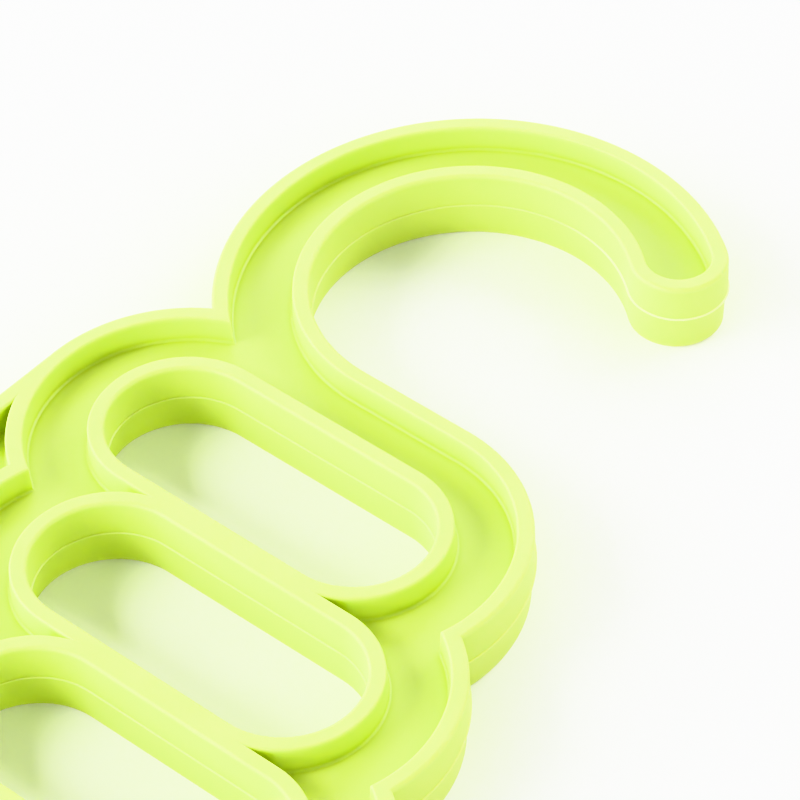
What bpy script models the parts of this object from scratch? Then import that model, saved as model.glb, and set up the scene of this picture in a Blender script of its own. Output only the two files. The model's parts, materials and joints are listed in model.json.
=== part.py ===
# Folding cascade hanger: two slotted leaves, each with its own rail hook, hinged across the middle.
# The hanger lies flat on Z = 0. The hinge axis runs along X above Y = 0. The upper leaf is on +Y,
# the lower leaf on -Y, and the slots step towards +X as they come nearer the hinge.

import math

import bmesh
import bpy

MM = 0.001

# Plate section: a thin web at mid height with a rim standing on both of its faces
THICKNESS = 10.6 * MM
WEB_THICKNESS = 3.0 * MM
RIM_WALL = 2.2 * MM
DRAFT_DEG = 2.5

# Slots: one row of round-ended slots in each leaf, every one with a raised ring
SLOTS_PER_LEAF = 4
SLOT_LENGTH = 49.0 * MM
SLOT_WIDTH = 20.0 * MM
RING_WALL = 2.2 * MM
RING_MERGE = 0.7 * MM
SLOT_STEP = 9.2 * MM

# Scalloped wall: one round-ended lobe about each slot, set slightly towards the hinge and the right
CHANNEL_WIDTH = 7.9 * MM
LOBE_DROP = 0.7 * MM
LOBE_SHIFT = 0.3 * MM

# Rail hook
HOOK_OPENING = 42.2 * MM
HOOK_BACK_BAND = 12.15 * MM
HOOK_CROWN_BAND = 12.5 * MM
HOOK_SHOULDER_BAND = 13.05 * MM
HOOK_SET_IN = 0.6 * MM
HOOK_TIP_DEG = 49.3

# Hinge across the middle: its axis lies just above the top face, so the leaves fold face to face
KNUCKLE_RADIUS = 3.7 * MM
KNUCKLE_LENGTH = 9.0 * MM
KNUCKLE_GAP = 0.5 * MM
HINGE_INSET = 22.0 * MM
PIN_RADIUS = 1.5 * MM
PIN_HEAD_RADIUS = 2.9 * MM
PIN_HEAD_LENGTH = 1.2 * MM
CAP_LENGTH = 3.2 * MM
CAP_END_WALL = 0.8 * MM

# Clearances
SEAT_GAP = 0.3 * MM
SWING_GAP = 0.4 * MM
FOLDED_GAP = 0.6 * MM
INNER_CORNER = 2.0 * MM
CUT_PAST = 1.0 * MM

# Finishes
PLASTIC_COLOUR = (0.62, 0.92, 0.12, 1.0)
PLASTIC_ROUGHNESS = 0.38
STEEL_COLOUR = (0.62, 0.63, 0.65, 1.0)
STEEL_ROUGHNESS = 0.3
SHARP_DEG = 40.0

# Steps on round stretches
HOOK_STEPS = 34
LOBE_STEPS = 9
END_STEPS = 12
SMALL_STEPS = 6
PIN_STEPS = 24
SAME_POINT = 0.0001 * MM

# Sizes that follow from the ones above
SLOPE = math.tan(math.radians(DRAFT_DEG))
MID_BULGE = THICKNESS / 2 * SLOPE
POCKET_DEPTH = (THICKNESS - WEB_THICKNESS) / 2
WEB_LOW = POCKET_DEPTH
WEB_HIGH = THICKNESS - POCKET_DEPTH
SLOT_RADIUS = SLOT_WIDTH / 2
SLOT_HALF = (SLOT_LENGTH - SLOT_WIDTH) / 2
RING_RADIUS = SLOT_RADIUS + RING_WALL
SLOT_PITCH = 2 * RING_RADIUS - RING_MERGE
LOBE_RADIUS = RING_RADIUS + CHANNEL_WIDTH + RIM_WALL
CORNER_RADIUS = RIM_WALL + INNER_CORNER

AXIS_HEIGHT = THICKNESS + FOLDED_GAP / 2
EDGE_Y = KNUCKLE_RADIUS + SWING_GAP
LIP_TOP = AXIS_HEIGHT - KNUCKLE_RADIUS - SWING_GAP
BITE = RIM_WALL / 2
BORE_RADIUS = PIN_RADIUS + SEAT_GAP
HINGE_LENGTH = 3 * KNUCKLE_LENGTH + 2 * KNUCKLE_GAP

RIGHT_X = (SLOTS_PER_LEAF - 1) / 2 * SLOT_STEP + SLOT_HALF + LOBE_RADIUS
LEFT_X = -RIGHT_X
FIRST_X = LEFT_X + LOBE_RADIUS + SLOT_HALF - LOBE_SHIFT
LAST_Y = EDGE_Y + LOBE_RADIUS + LOBE_DROP
SLOT_CENTRES = [
    (FIRST_X + k * SLOT_STEP, LAST_Y + (SLOTS_PER_LEAF - 1 - k) * SLOT_PITCH)
    for k in range(SLOTS_PER_LEAF)
]

HOOK_INNER = HOOK_OPENING / 2
HOOK_OUTER = HOOK_INNER + HOOK_SHOULDER_BAND
HOOK_LEFT = LEFT_X + HOOK_SET_IN
LOBE_TOP = SLOT_CENTRES[0][1] - LOBE_DROP + LOBE_RADIUS
HOOK_CENTRE = (HOOK_LEFT + HOOK_BACK_BAND + HOOK_INNER, LOBE_TOP + HOOK_INNER)
BACK_CENTRE = (HOOK_LEFT + HOOK_OUTER, HOOK_CENTRE[1] + HOOK_INNER + HOOK_CROWN_BAND - HOOK_OUTER)


def clear_scene():
    for item in list(bpy.data.objects):
        bpy.data.objects.remove(item, do_unlink=True)


def make_material(name, colour, roughness, metallic=0.0):
    material = bpy.data.materials.new(name)
    material.use_nodes = True
    shader = material.node_tree.nodes["Principled BSDF"]
    shader.inputs["Base Color"].default_value = colour
    shader.inputs["Roughness"].default_value = roughness
    shader.inputs["Metallic"].default_value = metallic
    material.diffuse_color = colour
    return material


def add_object(name, mesh, material=None):
    item = bpy.data.objects.new(name, mesh)
    bpy.context.scene.collection.objects.link(item)
    if material:
        item.data.materials.append(material)
    return item


# Plane geometry

def arc(centre, radius, start_deg, end_deg, steps):
    """Points along an arc, both ends included."""
    points = []
    for i in range(steps + 1):
        angle = math.radians(start_deg + (end_deg - start_deg) * i / steps)
        points.append((centre[0] + radius * math.cos(angle), centre[1] + radius * math.sin(angle)))
    return points


def bearing(centre, point):
    """Direction from centre to point, in degrees from 0 to 360."""
    return math.degrees(math.atan2(point[1] - centre[1], point[0] - centre[0])) % 360


def crossing(centre_a, radius_a, centre_b, radius_b, to_right):
    """Where two circles cross: the crossing further to the right, or the other one."""
    dx = centre_b[0] - centre_a[0]
    dy = centre_b[1] - centre_a[1]
    apart = math.hypot(dx, dy)
    along = (radius_a ** 2 - radius_b ** 2 + apart ** 2) / (2 * apart)
    across = math.sqrt(radius_a ** 2 - along ** 2)
    foot = (centre_a[0] + along * dx / apart, centre_a[1] + along * dy / apart)
    pair = [
        (foot[0] + sign * across * dy / apart, foot[1] - sign * across * dx / apart)
        for sign in (1, -1)
    ]
    pair.sort()
    return pair[1] if to_right else pair[0]


def joined(*runs):
    """One closed outline from several runs of points, without the doubles where they meet."""
    outline = []
    for run in runs:
        for point in run:
            if not outline or math.dist(point, outline[-1]) > SAME_POINT:
                outline.append(point)
    if math.dist(outline[0], outline[-1]) < SAME_POINT:
        outline.pop()
    return outline


def slot_end(k, side):
    """Centre of the round at one end of slot k."""
    x, y = SLOT_CENTRES[k]
    return (x + side * SLOT_HALF, y)


def lobe_end(k, side):
    """Centre of the round at one end of the lobe about slot k."""
    x, y = slot_end(k, side)
    return (x + LOBE_SHIFT, y - LOBE_DROP)


def lobe_notch(k, side, radius):
    """Where the round of slot k meets the round of the next slot towards the hinge."""
    return crossing(lobe_end(k, side), radius, lobe_end(k + 1, side), radius, side > 0)


def right_side(radius):
    """Scalloped right-hand side, from the hinge up to the first slot's top line."""
    points = []
    for k in reversed(range(SLOTS_PER_LEAF)):
        centre = lobe_end(k, 1)
        start = 0.0
        if k < SLOTS_PER_LEAF - 1:
            start = (bearing(centre, lobe_notch(k, 1, radius)) + 180) % 360 - 180
        end = 90.0
        if k > 0:
            end = bearing(centre, lobe_notch(k - 1, 1, radius))
        points += arc(centre, radius, start, end, LOBE_STEPS)
    return points


def left_side(radius, first_point, last_deg=270.0):
    """Scalloped left-hand side, from first_point on the first lobe down to the last lobe."""
    points = []
    for k in range(SLOTS_PER_LEAF):
        centre = lobe_end(k, -1)
        start = bearing(centre, first_point if k == 0 else lobe_notch(k - 1, -1, radius))
        end = last_deg
        if k < SLOTS_PER_LEAF - 1:
            end = bearing(centre, lobe_notch(k, -1, radius))
        points += arc(centre, radius, start, end, LOBE_STEPS)
    return points


def tip_round():
    """Centre and radius of the round tip that touches both edges of the hook."""
    angle = math.radians(HOOK_TIP_DEG)
    ux, uy = math.cos(angle), math.sin(angle)
    dx = HOOK_CENTRE[0] - BACK_CENTRE[0]
    dy = HOOK_CENTRE[1] - BACK_CENTRE[1]
    along = dx * ux + dy * uy
    spare = HOOK_OUTER ** 2 - HOOK_INNER ** 2 - dx ** 2 - dy ** 2 - 2 * HOOK_INNER * along
    radius = spare / (2 * (along + HOOK_INNER + HOOK_OUTER))
    reach = HOOK_INNER + radius
    return (HOOK_CENTRE[0] + reach * ux, HOOK_CENTRE[1] + reach * uy), radius


def hook_notch(inset):
    """Where the back of the hook meets the first lobe."""
    return crossing(BACK_CENTRE, HOOK_OUTER - inset, lobe_end(0, -1), LOBE_RADIUS - inset, False)


def hook_path(inset):
    """Up the inside of the hook, round its tip and back down its outside."""
    tip_centre, tip_radius = tip_round()
    tip_end = bearing(BACK_CENTRE, tip_centre)
    notch_deg = bearing(BACK_CENTRE, hook_notch(inset))
    inside = arc(HOOK_CENTRE, HOOK_INNER + inset, 270, HOOK_TIP_DEG, HOOK_STEPS)
    tip = arc(tip_centre, tip_radius - inset, HOOK_TIP_DEG + 180, tip_end + 360, END_STEPS)
    outside = arc(BACK_CENTRE, HOOK_OUTER - inset, tip_end, notch_deg, HOOK_STEPS)
    return inside + tip + outside


def hinge_corner(inset, side):
    """Rounded corner of the straight hinge edge."""
    centre = (side * (RIGHT_X - CORNER_RADIUS), EDGE_Y + CORNER_RADIUS)
    start = 270 if side > 0 else 180
    return arc(centre, CORNER_RADIUS - inset, start, start + 90, SMALL_STEPS)


def leaf_outline(inset):
    """Outside of one leaf, drawn in by inset."""
    radius = LOBE_RADIUS - inset
    centre = lobe_end(0, -1)
    shoulder = arc(centre, radius, bearing(centre, hook_notch(inset)), 180, LOBE_STEPS)
    return joined(hinge_corner(inset, 1), right_side(radius), hook_path(inset), shoulder,
                  hinge_corner(inset, -1))


def main_pocket(inset):
    """Channel that runs inside the rim, from the hinge edge round the slots into the hook."""
    radius = LOBE_RADIUS - inset
    return joined(hinge_corner(inset, 1), right_side(radius), hook_path(inset),
                  left_side(radius, hook_notch(inset)))


def side_pocket(inset):
    """Wedge between the straight left-hand wall and the scalloped wall round the slots."""
    wall_x = LEFT_X + inset
    floor_y = EDGE_Y + inset
    radius = LOBE_RADIUS + inset - RIM_WALL
    first = lobe_end(0, -1)
    last = lobe_end(SLOTS_PER_LEAF - 1, -1)
    apex = (wall_x, first[1] - math.sqrt(radius ** 2 - (first[0] - wall_x) ** 2))
    foot = (last[0] - math.sqrt(radius ** 2 - (last[1] - floor_y) ** 2), floor_y)
    scallops = left_side(radius, apex, bearing(last, foot))
    return joined(hinge_corner(inset, -1), scallops[::-1])


def stadium(k, radius):
    """Round-ended slot shape about slot k."""
    return joined(arc(slot_end(k, 1), radius, -90, 90, END_STEPS),
                  arc(slot_end(k, -1), radius, 90, 270, END_STEPS))


# Solids

def loft(sections, side):
    """Closed mesh through outlines with equal numbers of points; side -1 mirrors it across the hinge."""
    shape = bmesh.new()
    rings = []
    for height, outline in sections:
        rings.append([shape.verts.new((x, side * y, height)) for x, y in outline])
    count = len(rings[0])
    for low, high in zip(rings, rings[1:]):
        for i in range(count):
            j = (i + 1) % count
            shape.faces.new((low[i], low[j], high[j], high[i]))
    shape.faces.new(rings[0][::-1])
    shape.faces.new(rings[-1])
    bmesh.ops.recalc_face_normals(shape, faces=shape.faces)
    mesh = bpy.data.meshes.new("shape")
    shape.to_mesh(mesh)
    shape.free()
    return mesh


def extruded(profile, start_x, end_x):
    """Closed prism along X from a profile of (y, z) points."""
    shape = bmesh.new()
    face = shape.faces.new([shape.verts.new((start_x, y, z)) for y, z in profile])
    grown = bmesh.ops.extrude_face_region(shape, geom=[face])
    moved = [item for item in grown["geom"] if isinstance(item, bmesh.types.BMVert)]
    bmesh.ops.translate(shape, verts=moved, vec=(end_x - start_x, 0, 0))
    bmesh.ops.recalc_face_normals(shape, faces=shape.faces)
    mesh = bpy.data.meshes.new("prism")
    shape.to_mesh(mesh)
    shape.free()
    return mesh


def guide(name, mesh):
    """Helper solid that shapes another object and is not a piece itself."""
    item = add_object(name, mesh)
    item.hide_render = True
    item.display_type = "WIRE"
    return item


def combine(target, tool, operation):
    step = target.modifiers.new(tool.name, "BOOLEAN")
    step.operation = operation
    step.solver = "EXACT"
    step.object = tool


def ring_sections(k):
    """Raised ring round slot k, thicker towards the web, past both faces."""
    root = RING_RADIUS + POCKET_DEPTH * SLOPE
    lip = RING_RADIUS - CUT_PAST * SLOPE
    return [
        (-CUT_PAST, stadium(k, lip)),
        (WEB_LOW, stadium(k, root)),
        (WEB_HIGH, stadium(k, root)),
        (THICKNESS + CUT_PAST, stadium(k, lip)),
    ]


def pocket_sections(outline, upper):
    """Pocket from the web out past one face."""
    floor_outline = outline(RIM_WALL + POCKET_DEPTH * SLOPE)
    mouth_outline = outline(RIM_WALL - CUT_PAST * SLOPE)
    if upper:
        return [(WEB_HIGH, floor_outline), (THICKNESS + CUT_PAST, mouth_outline)]
    return [(-CUT_PAST, mouth_outline), (WEB_LOW, floor_outline)]


def knuckle_spans(side):
    """X ranges of the knuckles of one leaf: the outer pair of each hinge, or its middle one."""
    pitch = KNUCKLE_LENGTH + KNUCKLE_GAP
    spans = []
    for hinge_x in (LEFT_X + HINGE_INSET, RIGHT_X - HINGE_INSET):
        for offset in ((-pitch, pitch) if side > 0 else (0.0,)):
            middle = hinge_x + offset
            spans.append((middle - KNUCKLE_LENGTH / 2, middle + KNUCKLE_LENGTH / 2))
    return spans


def knuckle_profile(side):
    """Barrel on the hinge axis with the foot that joins it to its own leaf."""
    dip = math.degrees(math.asin((AXIS_HEIGHT - THICKNESS) / KNUCKLE_RADIUS))
    barrel = arc((0.0, AXIS_HEIGHT), KNUCKLE_RADIUS, -dip, 270, 2 * END_STEPS)
    foot = [
        (SEAT_GAP / 2, LIP_TOP - BITE),
        (EDGE_Y + BITE, LIP_TOP - BITE),
        (EDGE_Y + BITE, THICKNESS),
    ]
    return [(side * y, z) for y, z in barrel + foot]


def lip_profile(side):
    """Stop lip below the axis: the two lips meet when the hanger is open."""
    corners = [(SEAT_GAP / 2, 0.0), (EDGE_Y + BITE, 0.0), (EDGE_Y + BITE, LIP_TOP), (SEAT_GAP / 2, LIP_TOP)]
    return [(side * y, z) for y, z in corners]


def build_leaf(name, side, material):
    """One leaf: side 1 lies on +Y and side -1 is its mirror image with the other knuckles."""
    body = loft([
        (0.0, leaf_outline(0.0)),
        (THICKNESS / 2, leaf_outline(-MID_BULGE)),
        (THICKNESS, leaf_outline(0.0)),
    ], side)
    leaf = add_object(name, body, material)

    lip = extruded(lip_profile(side), LEFT_X + CORNER_RADIUS, RIGHT_X - CORNER_RADIUS)
    combine(leaf, guide(name + "_lip_shape", lip), "UNION")
    for i, (start_x, end_x) in enumerate(knuckle_spans(side)):
        knuckle = extruded(knuckle_profile(side), start_x, end_x)
        combine(leaf, guide(f"{name}_knuckle_shape_{i}", knuckle), "UNION")
    bore = arc((0.0, AXIS_HEIGHT), BORE_RADIUS, 0, 360 - 360 / PIN_STEPS, PIN_STEPS - 1)
    combine(leaf, guide(name + "_bore_shape", extruded(bore, LEFT_X, RIGHT_X)), "DIFFERENCE")

    rings = [guide(f"{name}_ring_shape_{k}", loft(ring_sections(k), side)) for k in range(SLOTS_PER_LEAF)]
    for upper in (True, False):
        face = "top" if upper else "bottom"
        channel = guide(f"{name}_{face}_channel_shape", loft(pocket_sections(main_pocket, upper), side))
        for ring in rings:
            combine(channel, ring, "DIFFERENCE")
        combine(leaf, channel, "DIFFERENCE")
        wedge = guide(f"{name}_{face}_wedge_shape", loft(pocket_sections(side_pocket, upper), side))
        combine(leaf, wedge, "DIFFERENCE")

    for k in range(SLOTS_PER_LEAF):
        wide = SLOT_RADIUS + CUT_PAST * SLOPE
        slot = loft([
            (-CUT_PAST, stadium(k, wide)),
            (THICKNESS / 2, stadium(k, SLOT_RADIUS - MID_BULGE)),
            (THICKNESS + CUT_PAST, stadium(k, wide)),
        ], side)
        combine(leaf, guide(f"{name}_slot_shape_{k}", slot), "DIFFERENCE")
    return leaf


def turned(profile):
    """Solid of revolution about X from (x, radius) points that start and end on the axis."""
    shape = bmesh.new()
    verts = [shape.verts.new((x, 0.0, radius)) for x, radius in profile]
    edges = [shape.edges.new(pair) for pair in zip(verts, verts[1:])]
    bmesh.ops.spin(shape, geom=verts + edges, cent=(0, 0, 0), axis=(1, 0, 0),
                   angle=2 * math.pi, steps=PIN_STEPS, use_merge=True)
    bmesh.ops.remove_doubles(shape, verts=shape.verts, dist=SAME_POINT)
    bmesh.ops.recalc_face_normals(shape, faces=shape.faces)
    mesh = bpy.data.meshes.new("turned")
    shape.to_mesh(mesh)
    shape.free()
    mesh.shade_smooth()
    mesh.set_sharp_from_angle(angle=math.radians(SHARP_DEG))
    return mesh


def build_pin(name, side, material):
    """Hinge pin with a head on its outer end; its origin is at the middle of the hinge."""
    head_face = HINGE_LENGTH / 2 + SEAT_GAP
    far_end = HINGE_LENGTH / 2 + SEAT_GAP + CAP_LENGTH - CAP_END_WALL - SEAT_GAP
    profile = [
        (-far_end, 0.0),
        (-far_end, PIN_RADIUS),
        (head_face, PIN_RADIUS),
        (head_face, PIN_HEAD_RADIUS),
        (head_face + PIN_HEAD_LENGTH, PIN_HEAD_RADIUS),
        (head_face + PIN_HEAD_LENGTH, 0.0),
    ]
    pin = add_object(name, turned([(side * x, radius) for x, radius in profile]), material)
    pin.location = (side * (RIGHT_X - HINGE_INSET), 0.0, AXIS_HEIGHT)
    return pin


def build_cap(name, side, material):
    """Push-on cap over the pin's inner end, closed at its far side."""
    mouth = HINGE_LENGTH / 2 + SEAT_GAP
    far_face = mouth + CAP_LENGTH
    profile = [
        (-far_face, 0.0),
        (-far_face, PIN_HEAD_RADIUS),
        (-mouth, PIN_HEAD_RADIUS),
        (-mouth, BORE_RADIUS),
        (-far_face + CAP_END_WALL, BORE_RADIUS),
        (-far_face + CAP_END_WALL, 0.0),
    ]
    cap = add_object(name, turned([(side * x, radius) for x, radius in profile]), material)
    cap.location = (side * (RIGHT_X - HINGE_INSET), 0.0, AXIS_HEIGHT)
    return cap


def main():
    clear_scene()
    leaf_plastic = make_material("leaf_plastic", PLASTIC_COLOUR, PLASTIC_ROUGHNESS)
    cap_plastic = make_material("cap_plastic", PLASTIC_COLOUR, PLASTIC_ROUGHNESS)
    pin_steel = make_material("pin_steel", STEEL_COLOUR, STEEL_ROUGHNESS, 1.0)

    build_leaf("upper_leaf", 1, leaf_plastic)
    lower_leaf = build_leaf("lower_leaf", -1, leaf_plastic)

    fold_axis = bpy.data.objects.new("fold_axis", None)
    bpy.context.scene.collection.objects.link(fold_axis)
    fold_axis.location = (0.0, 0.0, AXIS_HEIGHT)
    for vertex in lower_leaf.data.vertices:
        vertex.co.z -= AXIS_HEIGHT
    lower_leaf.parent = fold_axis

    for side, word in ((-1, "left"), (1, "right")):
        build_pin(f"hinge_pin_{word}", side, pin_steel)
        build_cap(f"pin_cap_{word}", side, cap_plastic)


main()
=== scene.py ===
import json
import math

import bmesh
import bpy
from mathutils import Euler, Matrix, Vector


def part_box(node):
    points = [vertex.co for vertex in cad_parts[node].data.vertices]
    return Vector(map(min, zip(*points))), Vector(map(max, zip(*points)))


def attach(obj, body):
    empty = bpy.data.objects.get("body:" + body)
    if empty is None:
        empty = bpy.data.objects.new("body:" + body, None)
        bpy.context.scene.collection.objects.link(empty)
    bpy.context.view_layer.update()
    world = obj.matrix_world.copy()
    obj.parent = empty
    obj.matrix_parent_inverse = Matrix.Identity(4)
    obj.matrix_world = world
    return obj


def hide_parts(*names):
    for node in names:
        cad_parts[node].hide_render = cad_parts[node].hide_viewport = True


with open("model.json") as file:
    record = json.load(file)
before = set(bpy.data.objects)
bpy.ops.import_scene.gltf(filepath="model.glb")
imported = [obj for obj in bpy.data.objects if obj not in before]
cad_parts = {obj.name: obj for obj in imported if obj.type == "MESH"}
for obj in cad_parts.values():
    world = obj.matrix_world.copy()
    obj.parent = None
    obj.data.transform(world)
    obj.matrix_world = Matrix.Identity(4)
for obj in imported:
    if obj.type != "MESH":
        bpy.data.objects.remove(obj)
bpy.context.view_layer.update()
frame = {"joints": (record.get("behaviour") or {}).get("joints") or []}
mm = 0.001
samePoint = 0.005   # points closer than this are one
print("frame loaded")


# Shared helpers

def roundSteps(radius, startDeg, endDeg, longestStep=1.1, widestDeg=7.0):
    # enough steps that neither the chord nor the turn of one step shows
    turn = abs(endDeg - startDeg)
    chordSteps = math.radians(turn) * radius / longestStep
    return max(3, math.ceil(max(chordSteps, turn / widestDeg)))


def stretch(centre, radius, startDeg, endDeg, steps, shift=0.0):
    # one round stretch of an outline; the steps come from the outline's nominal size
    return {"centre": centre, "radius": radius + shift, "from": startDeg, "to": endDeg, "steps": steps}


def drawLoop(stretches, height, offset):
    # closed loop of edges: a vertex is spun along every round stretch, straight edges join them
    loop = bmesh.new()
    for part in stretches:
        centre = Vector((part["centre"][0] + offset[0], part["centre"][1] + offset[1], height))
        start = math.radians(part["from"])
        spot = centre + Vector((math.cos(start), math.sin(start), 0.0)) * part["radius"]
        first = bmesh.ops.create_vert(loop, co=spot)["vert"][0]
        if len(loop.verts) > 1:
            loop.edges.new((last, first))
        spun = bmesh.ops.spin(loop, geom=[first], cent=centre, axis=(0, 0, 1),
                              angle=math.radians(part["to"] - part["from"]), steps=part["steps"])
        last = next(item for item in spun["geom_last"] if isinstance(item, bmesh.types.BMVert))
    loop.verts.ensure_lookup_table()
    loop.edges.new((last, loop.verts[0]))
    bmesh.ops.remove_doubles(loop, verts=loop.verts, dist=samePoint)
    return loop


def riseWall(shape, outline, levels, offset=(0.0, 0.0)):
    # wall through the same outline at several insets and heights; gives its first and last loop
    loops = []
    for inset, height in levels:
        loop = drawLoop(outline(inset), height, offset)
        loopMesh = bpy.data.meshes.new("loop")
        loop.to_mesh(loopMesh)
        loop.free()
        known = len(shape.edges)
        shape.from_mesh(loopMesh)
        bpy.data.meshes.remove(loopMesh)
        shape.edges.ensure_lookup_table()
        loops.append(shape.edges[known:])
    for low, high in zip(loops, loops[1:]):
        bmesh.ops.bridge_loops(shape, edges=low + high)
    return loops[0], loops[-1]


def quarter(steps):
    # sine and cosine along a quarter turn
    turns = [math.pi / 2 * i / steps for i in range(steps + 1)]
    return [(math.sin(turn), math.cos(turn)) for turn in turns]


def meshObject(name, shape):
    mesh = bpy.data.meshes.new(name)
    shape.to_mesh(mesh)
    shape.free()
    thing = bpy.data.objects.new(name, mesh)
    bpy.context.scene.collection.objects.link(thing)
    return thing


def combine(target, tools, operation):
    # applies one Boolean for each tool and takes the tools away
    for tool in tools:
        step = target.modifiers.new(tool.name, "BOOLEAN")
        step.operation = operation
        step.solver = "EXACT"
        step.object = tool
    bpy.context.view_layer.update()
    shown = target.evaluated_get(bpy.context.evaluated_depsgraph_get())
    merged = bpy.data.meshes.new_from_object(shown)
    target.modifiers.clear()
    target.data = merged
    for tool in tools:
        bpy.data.objects.remove(tool, do_unlink=True)
    return target


def finishPiece(piece, material, body, node, sharpDeg=35.0):
    # scale to metres, shade, weight the normals by face size and hand the piece to the frame
    piece.data.transform(Matrix.Scale(mm, 4))
    piece.data.materials.clear()
    piece.data.materials.append(material)
    piece.data.shade_smooth()
    piece.data.set_sharp_from_angle(angle=math.radians(sharpDeg))
    weigh = piece.modifiers.new("weighted_normals", "WEIGHTED_NORMAL")
    weigh.keep_sharp = True
    weigh.weight = 50
    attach(piece, body)
    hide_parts(node)
    print("piece", piece.name, len(piece.data.polygons), "faces")
    return piece


# Leaf sizes

leaf = {
    "thickness": 10.6,
    "webThickness": 3.0,
    "rimWall": 2.2,
    "draftDeg": 2.5,
    "slots": 4,
    "slotLength": 49.0,
    "slotWidth": 20.0,
    "ringWall": 2.2,
    "ringMerge": 0.7,
    "slotStep": 9.2,
    "channelWidth": 7.9,
    "lobeDrop": 0.7,
    "lobeShift": 0.3,
    "hookOpening": 42.2,
    "hookBackBand": 12.15,
    "hookCrownBand": 12.5,
    "hookShoulderBand": 13.05,
    "hookSetIn": 0.6,
    "hookTipDeg": 49.3,
    "innerCorner": 2.0,
    "outerEdgeRound": 0.5,
    "slotEdgeRound": 0.5,
    "pocketEdgeRound": 0.3,
    "rootRound": 0.4,
    "edgeSteps": 6,
    "pocketEdgeSteps": 4,
    "rootSteps": 5,
    "flashHeight": 0.2,
    "flashDepth": 0.16,
    "mouldShift": (-0.19, -0.16),
    "mouldInset": 0.22,
    "insideBox": 0.03,
}

hinge = {
    "knuckleRadius": 3.7,
    "knuckleLength": 9.0,
    "knuckleGap": 0.5,
    "hingeInset": 22.0,
    "pinRadius": 1.5,
    "pinHeadRadius": 2.9,
    "pinHeadLength": 1.2,
    "capLength": 3.2,
    "capEndWall": 0.8,
    "seatGap": 0.3,
    "swingGap": 0.4,
    "edgeRound": 0.3,
    "boreEdgeRound": 0.1,
    "pinEdgeRound": 0.25,
    "capEdgeRound": 0.3,
    "knuckleSteps": 40,
    "pinSteps": 64,
}

axisHeight = frame["joints"][0]["pos_m"][2] / mm
slope = math.tan(math.radians(leaf["draftDeg"]))
middle = leaf["thickness"] / 2
midBulge = middle * slope
pocketDepth = (leaf["thickness"] - leaf["webThickness"]) / 2
slotRadius = leaf["slotWidth"] / 2
slotHalf = (leaf["slotLength"] - leaf["slotWidth"]) / 2
ringRadius = slotRadius + leaf["ringWall"]
slotPitch = 2 * ringRadius - leaf["ringMerge"]
lobeRadius = ringRadius + leaf["channelWidth"] + leaf["rimWall"]
cornerRadius = leaf["rimWall"] + leaf["innerCorner"]
edgeY = hinge["knuckleRadius"] + hinge["swingGap"]
lipTop = axisHeight - hinge["knuckleRadius"] - hinge["swingGap"]

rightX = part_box("upper_leaf")[1].x / mm - midBulge
leftX = -rightX
slotCentres = [
    (leftX + lobeRadius + slotHalf - leaf["lobeShift"] + k * leaf["slotStep"],
     edgeY + lobeRadius + leaf["lobeDrop"] + (leaf["slots"] - 1 - k) * slotPitch)
    for k in range(leaf["slots"])
]
hookInner = leaf["hookOpening"] / 2
hookOuter = hookInner + leaf["hookShoulderBand"]
hookLeft = leftX + leaf["hookSetIn"]
lobeTop = slotCentres[0][1] - leaf["lobeDrop"] + lobeRadius
hookCentre = (hookLeft + leaf["hookBackBand"] + hookInner, lobeTop + hookInner)
backCentre = (hookLeft + hookOuter, hookCentre[1] + hookInner + leaf["hookCrownBand"] - hookOuter)


# Leaf outlines, all in plan, drawn in by an inset

def bearing(centre, point):
    return math.degrees(math.atan2(point[1] - centre[1], point[0] - centre[0])) % 360


def crossing(centreA, radiusA, centreB, radiusB, toRight):
    # where two circles cross: the crossing further to the right, or the other one
    away = Vector(centreB) - Vector(centreA)
    along = (radiusA ** 2 - radiusB ** 2 + away.length_squared) / (2 * away.length)
    across = math.sqrt(radiusA ** 2 - along ** 2)
    foot = Vector(centreA) + away.normalized() * along
    sideways = Vector((away.y, -away.x)).normalized() * across
    pair = sorted([foot + sideways, foot - sideways], key=lambda point: point.x)
    return pair[1] if toRight else pair[0]


def slotEnd(k, side):
    return (slotCentres[k][0] + side * slotHalf, slotCentres[k][1])


def lobeEnd(k, side):
    return (slotEnd(k, side)[0] + leaf["lobeShift"], slotCentres[k][1] - leaf["lobeDrop"])


def lobeNotch(k, side, radius):
    return crossing(lobeEnd(k, side), radius, lobeEnd(k + 1, side), radius, side > 0)


def hookNotch(inset):
    # where the back of the hook meets the first lobe
    return crossing(backCentre, hookOuter - inset, lobeEnd(0, -1), lobeRadius - inset, False)


def hookTip():
    # centre and radius of the round tip that touches both edges of the hook
    turn = math.radians(leaf["hookTipDeg"])
    heading = Vector((math.cos(turn), math.sin(turn)))
    away = Vector(hookCentre) - Vector(backCentre)
    along = away.dot(heading)
    spare = hookOuter ** 2 - hookInner ** 2 - away.length_squared - 2 * hookInner * along
    radius = spare / (2 * (along + hookInner + hookOuter))
    return Vector(hookCentre) + heading * (hookInner + radius), radius


def rightScallops(inset):
    radius = lobeRadius - inset
    parts = []
    for k in reversed(range(leaf["slots"])):
        centre = lobeEnd(k, 1)
        start = 0.0
        if k < leaf["slots"] - 1:
            start = (bearing(centre, lobeNotch(k, 1, radius)) + 180) % 360 - 180
        end = 90.0 if k == 0 else bearing(centre, lobeNotch(k - 1, 1, radius))
        parts.append(stretch(centre, radius, start, end, scallopSteps))
    return parts


def leftScallops(radius, firstPoint, lastDeg):
    parts = []
    for k in range(leaf["slots"]):
        centre = lobeEnd(k, -1)
        start = bearing(centre, firstPoint if k == 0 else lobeNotch(k - 1, -1, radius))
        end = lastDeg if k == leaf["slots"] - 1 else bearing(centre, lobeNotch(k, -1, radius))
        parts.append(stretch(centre, radius, start, end, scallopSteps))
    return parts


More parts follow.
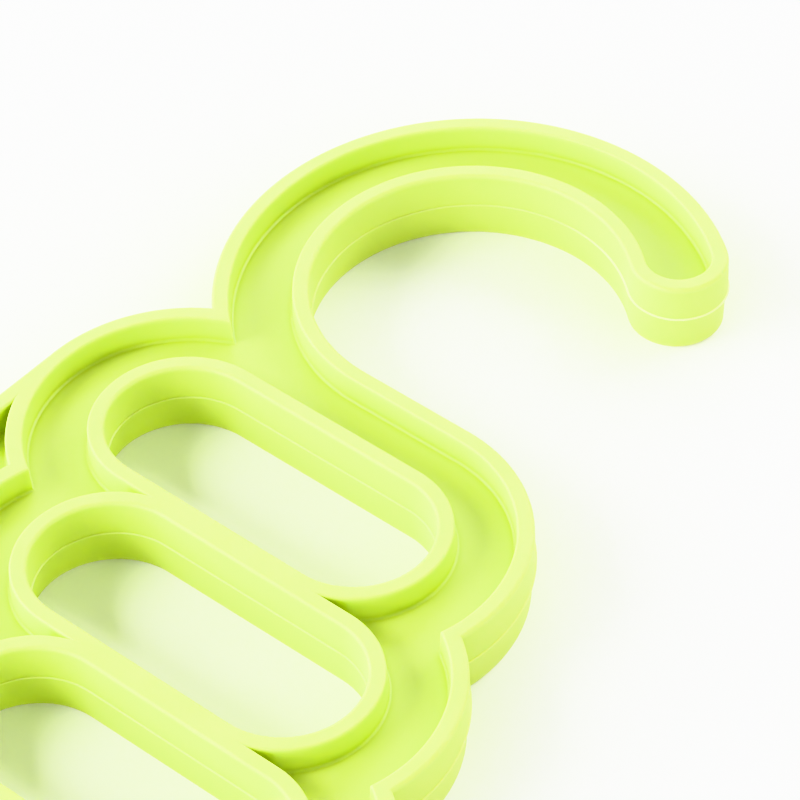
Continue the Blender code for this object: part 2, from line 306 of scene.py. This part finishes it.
def hookStretches(inset):
    # up the inside of the hook, round its tip and back down its outside
    tipDeg = leaf["hookTipDeg"]
    tipCentre, tipRadius = hookTip()
    tipEnd = bearing(backCentre, tipCentre)
    notchDeg = bearing(backCentre, hookNotch(inset))
    return [
        stretch(hookCentre, hookInner + inset, 270, tipDeg, hookSteps),
        stretch(tipCentre, tipRadius - inset, tipDeg + 180, tipEnd + 360, tipSteps),
        stretch(backCentre, hookOuter - inset, tipEnd, notchDeg, hookSteps),
    ]


def hingeCorner(inset, side):
    centre = (side * (rightX - cornerRadius), edgeY + cornerRadius)
    start = 270 if side > 0 else 180
    return [stretch(centre, cornerRadius - inset, start, start + 90, cornerSteps)]


def outerOutline(inset):
    centre = lobeEnd(0, -1)
    shoulder = stretch(centre, lobeRadius - inset, bearing(centre, hookNotch(inset)), 180, scallopSteps)
    return (hingeCorner(inset, 1) + rightScallops(inset) + hookStretches(inset)
            + [shoulder] + hingeCorner(inset, -1))


def channelOutline(inset):
    return (hingeCorner(inset, 1) + rightScallops(inset) + hookStretches(inset)
            + leftScallops(lobeRadius - inset, hookNotch(inset), 270))


def wedgeOutline(inset):
    # pocket between the straight left-hand wall and the scallops
    wallX = leftX + inset
    floorY = edgeY + inset
    radius = lobeRadius + inset - leaf["rimWall"]
    first = lobeEnd(0, -1)
    last = lobeEnd(leaf["slots"] - 1, -1)
    apex = (wallX, first[1] - math.sqrt(radius ** 2 - (first[0] - wallX) ** 2))
    foot = (last[0] - math.sqrt(radius ** 2 - (last[1] - floorY) ** 2), floorY)
    return hingeCorner(inset, -1) + [
        {**part, "from": part["to"], "to": part["from"]}
        for part in reversed(leftScallops(radius, apex, bearing(last, foot)))
    ]


def ringOutline(inset):
    # the rings' joined outside, where each overlaps the next
    radius = ringRadius - inset
    last = leaf["slots"] - 1
    dip = math.degrees(math.asin((slotPitch - radius) / radius))
    parts = []
    for k in range(leaf["slots"]):
        parts.append(stretch(slotEnd(k, 1), radius, 90, -90 if k == last else -dip, ringSteps))
    for k in reversed(range(leaf["slots"])):
        parts.append(stretch(slotEnd(k, -1), radius, 270, 90 if k == 0 else 180 - dip, ringSteps))
    return parts


def slotOutline(k):
    def drawn(inset):
        radius = slotRadius - inset
        return [
            stretch(slotEnd(k, 1), radius, -90, 90, ringSteps),
            stretch(slotEnd(k, -1), radius, 90, 270, ringSteps),
        ]
    return drawn


scallopSteps = roundSteps(lobeRadius, 0, 90)
hookSteps = roundSteps(hookOuter, 0, 200)
tipSteps = roundSteps(leaf["hookCrownBand"] / 2, 0, 180)
cornerSteps = roundSteps(cornerRadius, 0, 90)
ringSteps = roundSteps(ringRadius, 0, 180)


# Leaf walls

def leafHalf(shape, upper):
    # walls of one mould half; gives its open loops at the parting line and the outlines of its flat faces
    sign = 1 if upper else -1
    offset = (0.0, 0.0) if upper else leaf["mouldShift"]
    drawnIn = 0.0 if upper else leaf["mouldInset"]
    lipEdge = leaf["pocketEdgeRound"]
    root = leaf["rootRound"]
    web = leaf["webThickness"] / 2
    flash = leaf["flashHeight"]
    parting = leaf["insideBox"] - midBulge if upper else drawnIn - midBulge

    def raised(outline, levels):
        placed = [(inset, middle + sign * height) for inset, height in levels]
        return riseWall(shape, outline, placed, offset)

    def sideWall(grown, edge):
        # from the parting line, with its flash on the upper half, to the rounded edge
        levels = [(parting, 0.0)]
        if upper:
            levels += [(parting, flash * 0.5), (parting + leaf["flashDepth"] / 2, flash * 0.9),
                       (parting + leaf["flashDepth"], flash)]
        rounded = quarter(leaf["edgeSteps"])
        levels += [(drawnIn + edge * (1 - c), middle - edge + edge * s) for s, c in rounded]
        return [(grown * inset, height) for inset, height in levels]

    partingOuter, rimEdge = raised(outerOutline, sideWall(1, leaf["outerEdgeRound"]))

    lean = (pocketDepth - root) * slope
    mouthTurns = reversed(quarter(leaf["pocketEdgeSteps"]))
    mouth = [(lipEdge * (c - 1), middle - lipEdge + lipEdge * s) for s, c in mouthTurns]
    foot = [(lean + root * (1 - c), web + root * (1 - s)) for s, c in quarter(leaf["rootSteps"])]
    pocketWall = mouth + foot

    rimInner = [(leaf["rimWall"] + inset, height) for inset, height in pocketWall]
    channelMouth, channelFoot = raised(channelOutline, rimInner)
    wedgeMouth, wedgeFoot = raised(wedgeOutline, rimInner)
    ringMouth, ringFoot = raised(ringOutline, [(-inset, height) for inset, height in pocketWall])

    slotWalls = [raised(slotOutline(k), sideWall(-1, leaf["slotEdgeRound"])) for k in range(leaf["slots"])]
    slotMouths = [item for wall in slotWalls for item in wall[1]]

    flats = [rimEdge + channelMouth + wedgeMouth, ringMouth + slotMouths, channelFoot + ringFoot, wedgeFoot]
    return [partingOuter] + [wall[0] for wall in slotWalls], flats


def buildPlate():
    shape = bmesh.new()
    upperLoops, upperFlats = leafHalf(shape, True)
    lowerLoops, lowerFlats = leafHalf(shape, False)
    for upperLoop, lowerLoop in zip(upperLoops, lowerLoops):
        bmesh.ops.bridge_loops(shape, edges=upperLoop + lowerLoop)
    for outlines in upperFlats + lowerFlats:
        bmesh.ops.triangle_fill(shape, edges=outlines, use_beauty=True, use_dissolve=False)
    bmesh.ops.recalc_face_normals(shape, faces=shape.faces)
    openEdges = [item for item in shape.edges if not item.is_manifold]
    print("plate", len(shape.faces), "faces,", len(openEdges), "open edges")
    return shape


plate = buildPlate()


# Hinge pieces

lipBite = leaf["rimWall"] / 2
hingeMiddles = (leftX + hinge["hingeInset"], rightX - hinge["hingeInset"])
hingeLength = 3 * hinge["knuckleLength"] + 2 * hinge["knuckleGap"]
sharpCorner = math.radians(50)


def prism(name, stretches, startX, endX):
    # solid along X from an outline drawn in plan, stood up so that plan x is y and plan y is z
    shape = drawLoop(stretches, 0.0, (0.0, 0.0))
    bmesh.ops.contextual_create(shape, geom=shape.edges)
    stand = Matrix(((0, 0, 1, 0), (1, 0, 0, 0), (0, 1, 0, 0), (0, 0, 0, 1)))
    bmesh.ops.transform(shape, matrix=Matrix.Translation((startX, 0, 0)) @ stand, verts=shape.verts)
    grown = bmesh.ops.extrude_face_region(shape, geom=shape.faces)
    moved = [item for item in grown["geom"] if isinstance(item, bmesh.types.BMVert)]
    bmesh.ops.translate(shape, verts=moved, vec=(endX - startX, 0, 0))
    bmesh.ops.recalc_face_normals(shape, faces=shape.faces)
    corners = [item for item in shape.edges if item.calc_face_angle() > sharpCorner]
    bmesh.ops.bevel(shape, geom=corners, offset=hinge["edgeRound"], affect="EDGES", segments=3, profile=0.5,
                    material=-1, clamp_overlap=True)
    return meshObject(name, shape)


def corner(y, z):
    # one sharp corner of a profile, as a round stretch of no size
    return stretch((y, z), 0.0, 0, 90, 1)


def knuckleProfile():
    dip = math.degrees(math.asin((axisHeight - leaf["thickness"]) / hinge["knuckleRadius"]))
    radius = hinge["knuckleRadius"] - leaf["insideBox"]
    return [
        stretch((0.0, axisHeight), radius, -dip, 270, hinge["knuckleSteps"]),
        corner(hinge["seatGap"] / 2, lipTop - lipBite),
        corner(edgeY + lipBite, lipTop - lipBite),
        corner(edgeY + lipBite, leaf["thickness"]),
    ]


def lipProfile():
    near = hinge["seatGap"] / 2
    far = edgeY + lipBite
    return [corner(near, 0.0), corner(far, 0.0), corner(far, lipTop), corner(near, lipTop)]


def knuckleSpans(outerPair):
    pitch = hinge["knuckleLength"] + hinge["knuckleGap"]
    half = hinge["knuckleLength"] / 2
    places = (-pitch, pitch) if outerPair else (0.0,)
    return [(x + place - half, x + place + half) for x in hingeMiddles for place in places]


def turned(name, profile, x, edgeRound):
    # solid of revolution about the hinge axis from (x, radius) corners that start and end on it
    shape = bmesh.new()
    corners = [
        bmesh.ops.create_vert(shape, co=(along, 0.0, radius))["vert"][0] for along, radius in profile
    ]
    edges = [shape.edges.new(pair) for pair in zip(corners, corners[1:])]
    bmesh.ops.spin(shape, geom=corners + edges, cent=(0, 0, 0), axis=(1, 0, 0), angle=2 * math.pi,
                   steps=hinge["pinSteps"], use_merge=True)
    bmesh.ops.remove_doubles(shape, verts=shape.verts, dist=samePoint)
    bmesh.ops.recalc_face_normals(shape, faces=shape.faces)
    rims = [item for item in shape.edges if item.calc_face_angle() > sharpCorner]
    bmesh.ops.bevel(shape, geom=rims, offset=edgeRound, affect="EDGES", segments=4, profile=0.5,
                    material=-1)
    bmesh.ops.translate(shape, verts=shape.verts, vec=(x, 0.0, axisHeight))
    return meshObject(name, shape)


def pinProfile(side):
    headFace = hingeLength / 2 + hinge["seatGap"]
    farEnd = hingeLength / 2 + hinge["capLength"] - hinge["capEndWall"]
    corners = [
        (-farEnd, 0.0), (-farEnd, hinge["pinRadius"]), (headFace, hinge["pinRadius"]),
        (headFace, hinge["pinHeadRadius"]), (headFace + hinge["pinHeadLength"], hinge["pinHeadRadius"]),
        (headFace + hinge["pinHeadLength"], 0.0),
    ]
    return [(side * along, radius) for along, radius in corners]


def capProfile(side):
    mouth = hingeLength / 2 + hinge["seatGap"]
    farFace = mouth + hinge["capLength"]
    bore = hinge["pinRadius"] + hinge["seatGap"]
    corners = [
        (-farFace, 0.0), (-farFace, hinge["pinHeadRadius"]),
        (-mouth, hinge["pinHeadRadius"]), (-mouth, bore),
        (-farFace + hinge["capEndWall"], bore), (-farFace + hinge["capEndWall"], 0.0),
    ]
    return [(side * along, radius) for along, radius in corners]


# Materials

# strengths and sizes of the plastic's grain and of its painted shade, sheen and highlight; lengths in
# millimetres, cloud scales per metre
marks = {
    "grainStrength": 0.12,
    "patchScale": 120.0,
    "sheenPatchScale": 90.0,
    "faintestSheen": 0.7,
    "rimBandStart": 0.9,
    "rimBandEnd": 0.1,
    "cornerReach": 1.8,
    "cornerStrength": 0.9,
    "glintLineFull": 0.09,
    "glintLineEnd": 0.13,
    "tipGlintFull": 10.0,
    "tipGlintEnd": 22.0,
    "farGlint": 0.25,
    "foldMargin": 0.1,
}


def reckon(tree, operation, *values):
    # a Math node; every value is a number or another node's output
    node = tree.nodes.new("ShaderNodeMath")
    node.operation = operation
    for socket, value in zip(node.inputs, values):
        if isinstance(value, bpy.types.NodeSocket):
            tree.links.new(value, socket)
        else:
            socket.default_value = value
    return node.outputs[0]


def ramp(tree, value, low, high, lowResult, highResult):
    # soft step from one result to the other while the value goes from low to high
    node = tree.nodes.new("ShaderNodeMapRange")
    node.interpolation_type = "SMOOTHSTEP"
    tree.links.new(value, node.inputs["Value"])
    for socket, number in zip(node.inputs[1:5], (low, high, lowResult, highResult)):
        socket.default_value = number
    return node.outputs["Result"]


def cloud(tree, place, scale, detail):
    node = tree.nodes.new("ShaderNodeTexNoise")
    node.inputs["Detail"].default_value = detail
    tree.links.new(place, node.inputs["Vector"])
    if isinstance(scale, bpy.types.NodeSocket):
        tree.links.new(scale, node.inputs["Scale"])
    else:
        node.inputs["Scale"].default_value = scale
    return node.outputs["Fac"]


def mouldedSurface():
    # shared finish of moulded plastic: a fine grain and slow waves, as roughness and a normal
    group = bpy.data.node_groups.new("moulded_surface", "ShaderNodeTree")
    face = group.interface
    for label in ("Grain Size", "Grain Depth", "Roughness", "Roughness Spread"):
        face.new_socket(label, in_out="INPUT", socket_type="NodeSocketFloat")
    face.new_socket("Roughness", in_out="OUTPUT", socket_type="NodeSocketFloat")
    face.new_socket("Normal", in_out="OUTPUT", socket_type="NodeSocketVector")
    given = group.nodes.new("NodeGroupInput").outputs
    result = group.nodes.new("NodeGroupOutput").inputs
    place = group.nodes.new("ShaderNodeTexCoord").outputs["Object"]

    bump = group.nodes.new("ShaderNodeBump")
    bump.inputs["Strength"].default_value = marks["grainStrength"]
    group.links.new(given["Grain Depth"], bump.inputs["Distance"])
    grain = cloud(group, place, reckon(group, "DIVIDE", 1.0, given["Grain Size"]), 2.0)
    group.links.new(grain, bump.inputs["Height"])
    group.links.new(bump.outputs["Normal"], result["Normal"])

    patches = reckon(group, "SUBTRACT", cloud(group, place, marks["patchScale"], 3.0), 0.5)
    spread = reckon(group, "MULTIPLY_ADD", patches, given["Roughness Spread"], given["Roughness"])
    group.links.new(spread, result["Roughness"])
    return group


surface = mouldedSurface()


def finishedMaterial(name, colour, roughness, spread, grainSize, grainDepth):
    material = bpy.data.materials.new(name)
    material.use_nodes = True
    nodes = material.node_tree.nodes
    shader = nodes["Principled BSDF"]
    shader.inputs["Base Color"].default_value = (*colour, 1.0)
    finish = nodes.new("ShaderNodeGroup")
    finish.node_tree = surface
    finish.inputs["Grain Size"].default_value = grainSize
    finish.inputs["Grain Depth"].default_value = grainDepth
    finish.inputs["Roughness"].default_value = roughness
    finish.inputs["Roughness Spread"].default_value = spread
    material.node_tree.links.new(finish.outputs["Roughness"], shader.inputs["Roughness"])
    material.node_tree.links.new(finish.outputs["Normal"], shader.inputs["Normal"])
    return material, shader


def mixColour(tree, amount, plain, marked):
    # blend of two colours; the plain one is a colour or an earlier blend
    node = tree.nodes.new("ShaderNodeMix")
    node.data_type = "RGBA"
    tree.links.new(amount, node.inputs["Factor"])
    low, high = [socket for socket in node.inputs if socket.type == "RGBA"]
    if isinstance(plain, bpy.types.NodeSocket):
        tree.links.new(plain, low)
    else:
        low.default_value = (*plain, 1.0)
    high.default_value = (*marked, 1.0)
    return next(socket for socket in node.outputs if socket.type == "RGBA")


def paintedLightMarks(tree, shader, colour, cornerShadeColour, rimSheenColour, glintColour):
    # colour of the mouldings with painted light: painted shade in corners, a painted sheen on the rim tops
    # and a painted highlight along the parting line
    place = tree.nodes.new("ShaderNodeTexCoord").outputs["Object"]
    spot = tree.nodes.new("ShaderNodeSeparateXYZ")
    tree.links.new(place, spot.inputs["Vector"])
    height = reckon(tree, "SUBTRACT", spot.outputs["Z"], middle * mm)
    fromFold = reckon(tree, "ABSOLUTE", spot.outputs["Y"])
    onPlate = reckon(tree, "GREATER_THAN", fromFold, (edgeY - marks["foldMargin"]) * mm)

    # rim tops painted paler, a painted sheen as of light from above, uneven under a cloud
    bandStart, bandEnd = (middle - marks["rimBandStart"]) * mm, (middle - marks["rimBandEnd"]) * mm
    rimSheen = ramp(tree, reckon(tree, "ABSOLUTE", height), bandStart, bandEnd, 0.0, 1.0)
    sheenUnevenness = ramp(tree, cloud(tree, place, marks["sheenPatchScale"], 2.0), 0.3, 0.6, marks["faintestSheen"], 1.0)
    rimSheen = reckon(tree, "MULTIPLY", reckon(tree, "MULTIPLY", rimSheen, sheenUnevenness), onPlate)

    # painted shade where two walls meet: the colour darkens where the walls close in
    closeness = tree.nodes.new("ShaderNodeAmbientOcclusion")
    closeness.only_local = True
    closeness.samples = 8
    closeness.inputs["Distance"].default_value = marks["cornerReach"] * mm
    paintedCornerShade = ramp(tree, closeness.outputs["AO"], 0.5, 0.88, marks["cornerStrength"], 0.0)

    # painted highlight along the parting line, as of light caught by the flash, brightest round the hook's
    # tip
    aboveGlintLine = reckon(tree, "SUBTRACT", height, leaf["flashHeight"] / 2 * mm)
    fromGlintLine = reckon(tree, "ABSOLUTE", aboveGlintLine)
    flash = ramp(tree, fromGlintLine, marks["glintLineFull"] * mm, marks["glintLineEnd"] * mm, 1.0, 0.0)
    tipCentre = hookTip()[0]
    fromTip = tree.nodes.new("ShaderNodeVectorMath")
    fromTip.operation = "DISTANCE"
    tree.links.new(place, fromTip.inputs[0])
    fromTip.inputs[1].default_value = (tipCentre.x * mm, tipCentre.y * mm, middle * mm)
    nearTipGlint = ramp(tree, fromTip.outputs["Value"], marks["tipGlintFull"] * mm,
                 marks["tipGlintEnd"] * mm, 1.0, marks["farGlint"])
    flash = reckon(tree, "MULTIPLY", reckon(tree, "MULTIPLY", flash, nearTipGlint), onPlate)

    blended = mixColour(tree, paintedCornerShade, colour, cornerShadeColour)
    blended = mixColour(tree, rimSheen, blended, rimSheenColour)
    blended = mixColour(tree, flash, blended, glintColour)
    tree.links.new(blended, shader.inputs["Base Color"])


# lime is the plastic's own colour; the other three are painted shade for the corners, a painted sheen for
# the rim tops and a painted highlight for the parting line
lime = (0.485, 0.60, 0.105)
cornerShadeLime = (0.36, 0.47, 0.02)
rimSheenLime = (0.55, 0.64, 0.165)
partingGlintLime = (0.80, 0.88, 0.42)
limePlastic, limeShader = finishedMaterial("lime_plastic", lime, 0.46, 0.08, 0.0004, 0.000006)
paintedLightMarks(limePlastic.node_tree, limeShader, lime, cornerShadeLime, rimSheenLime, partingGlintLime)
limeShader.inputs["IOR"].default_value = 1.49
limeShader.inputs["Specular IOR Level"].default_value = 0.4
limeShader.inputs["Subsurface Weight"].default_value = 0.6
limeShader.inputs["Subsurface Radius"].default_value = (1.0, 1.1, 0.2)
limeShader.inputs["Subsurface Scale"].default_value = 0.002

pinSteel, steelShader = finishedMaterial("pin_steel", (0.42, 0.43, 0.45), 0.3, 0.1, 0.0002, 0.000003)
steelShader.inputs["Metallic"].default_value = 1.0


# Pieces

def buildLeaf(name, body, node, side):
    piece = meshObject(name, plate.copy())
    added = [prism(f"{name}_lip", lipProfile(), leftX + cornerRadius, rightX - cornerRadius)]
    for i, (startX, endX) in enumerate(knuckleSpans(side > 0)):
        added.append(prism(f"{name}_knuckle_{i}", knuckleProfile(), startX, endX))
    combine(piece, added, "UNION")
    boreRadius = hinge["pinRadius"] + hinge["seatGap"]
    borePath = [(leftX, 0.0), (leftX, boreRadius), (rightX, boreRadius), (rightX, 0.0)]
    bore = turned(f"{name}_bore", borePath, 0.0, hinge["boreEdgeRound"])
    combine(piece, [bore], "DIFFERENCE")
    if side < 0:
        piece.data.transform(Matrix.Scale(-1, 4, (0, 1, 0)))
        piece.data.flip_normals()
    return finishPiece(piece, limePlastic, body, node)


buildLeaf("upper_leaf_moulding", "upper_leaf", "upper_leaf", 1)
buildLeaf("lower_leaf_moulding", "lower_leaf", "lower_leaf", -1)
plate.free()

turnedSharpDeg = 60.0
for side, word in ((-1, "left"), (1, "right")):
    middleX = side * (rightX - hinge["hingeInset"])
    pin = turned(f"{word}_hinge_pin", pinProfile(side), middleX, hinge["pinEdgeRound"])
    finishPiece(pin, pinSteel, "upper_leaf", f"hinge_pin_{word}", turnedSharpDeg)
    cap = turned(f"{word}_pin_cap", capProfile(side), middleX, hinge["capEdgeRound"])
    finishPiece(cap, limePlastic, "upper_leaf", f"pin_cap_{word}", turnedSharpDeg)


# Floor, light and camera

def plainMaterial(name, colour, roughness):
    material = bpy.data.materials.new(name)
    material.use_nodes = True
    shader = material.node_tree.nodes["Principled BSDF"]
    shader.inputs["Base Color"].default_value = (*colour, 1.0)
    shader.inputs["Roughness"].default_value = roughness
    return material


def lightFarFloor(material):
    # beyond the lamps the floor glows by itself, so that low views end in white too
    tree = material.node_tree
    shader = tree.nodes["Principled BSDF"]
    fromMiddle = tree.nodes.new("ShaderNodeVectorMath")
    fromMiddle.operation = "LENGTH"
    place = tree.nodes.new("ShaderNodeTexCoord").outputs["Object"]
    tree.links.new(place, fromMiddle.inputs[0])
    shader.inputs["Emission Color"].default_value = (1.0, 1.0, 1.0, 1.0)
    glow = ramp(tree, fromMiddle.outputs["Value"], studio["glowStart"], studio["glowEnd"],
                0.0, studio["glowStrength"])
    tree.links.new(glow, shader.inputs["Emission Strength"])


# the floor's size in millimetres; lamp sizes, the aim and the glow's limits in metres
studio = {
    "floorHalf": 8000.0,
    "floorColour": (0.96, 0.96, 0.96),
    "floorRoughness": 0.8,
    "glowStart": 1.0,
    "glowEnd": 2.0,
    "glowStrength": 0.9,
    "roomStrength": 0.18,
    "lampDistance": 1.4,
    "lampWidth": 0.9,
    "lampHeight": 0.5,
    "aim": (-0.005, 0.10, 0.005),
}

floorShape = bmesh.new()
bmesh.ops.create_grid(floorShape, x_segments=1, y_segments=1, size=studio["floorHalf"])
floor = meshObject("floor", floorShape)
floor.data.transform(Matrix.Scale(mm, 4))
sweep = plainMaterial("white_sweep", studio["floorColour"], studio["floorRoughness"])
lightFarFloor(sweep)
floor.data.materials.append(sweep)

scene = bpy.context.scene
scene.view_settings.view_transform = "Khronos PBR Neutral"

world = bpy.data.worlds.new("white_room")
scene.world = world
world.use_nodes = True
room = world.node_tree.nodes["Background"].inputs
room["Color"].default_value = (1.0, 1.0, 1.0, 1.0)
room["Strength"].default_value = studio["roomStrength"]


def softLight(name, bearingDeg, heightDeg, watts):
    # rectangular lamp that looks at the shown end of the hanger
    light = bpy.data.lights.new(name, "AREA")
    light.shape = "RECTANGLE"
    light.size = studio["lampWidth"]
    light.size_y = studio["lampHeight"]
    light.energy = watts
    turn, rise = math.radians(bearingDeg), math.radians(heightDeg)
    away = Vector((math.cos(turn) * math.cos(rise), math.sin(turn) * math.cos(rise), math.sin(rise)))
    lamp = bpy.data.objects.new(name, light)
    lamp.location = Vector(studio["aim"]) + away * studio["lampDistance"]
    lamp.rotation_euler = away.to_track_quat("Z", "Y").to_euler()
    scene.collection.objects.link(lamp)
    return lamp


lamps = (
    # name, bearing and height in degrees, watts
    ("low_window_left", 195.0, 15.0, 38.0),
    ("low_window_middle", 230.0, 15.0, 22.0),
    ("low_window_right", 265.0, 15.0, 23.0),
    ("high_window", 230.0, 36.0, 36.0),
    ("softbox_behind_left", 128.0, 30.0, 16.0),
    ("softbox_behind_right", 80.0, 32.0, 28.0),
    ("card_on_the_right", 0.0, 22.0, 9.5),
)
for lampSetting in lamps:
    softLight(*lampSetting)

# solved from the photo's slots and arcs
viewpoint = {
    "lens": 192.92,
    "sensor": 36.0,
    "place": (0.25100, -0.17034, 0.39186),
    "turnDeg": (45.561, 1.705, 40.403),
}
camera = bpy.data.cameras.new("camera")
camera.lens = viewpoint["lens"]
camera.sensor_width = viewpoint["sensor"]
cameraObject = bpy.data.objects.new("camera", camera)
cameraObject.location = viewpoint["place"]
cameraObject.rotation_euler = Euler([math.radians(turn) for turn in viewpoint["turnDeg"]], "XYZ")
scene.collection.objects.link(cameraObject)
scene.camera = cameraObject
print("light and camera done")


# Sizes of the CAD and of the dressed part

def corners(box):
    return [[round(value, 6) for value in point] for point in box]
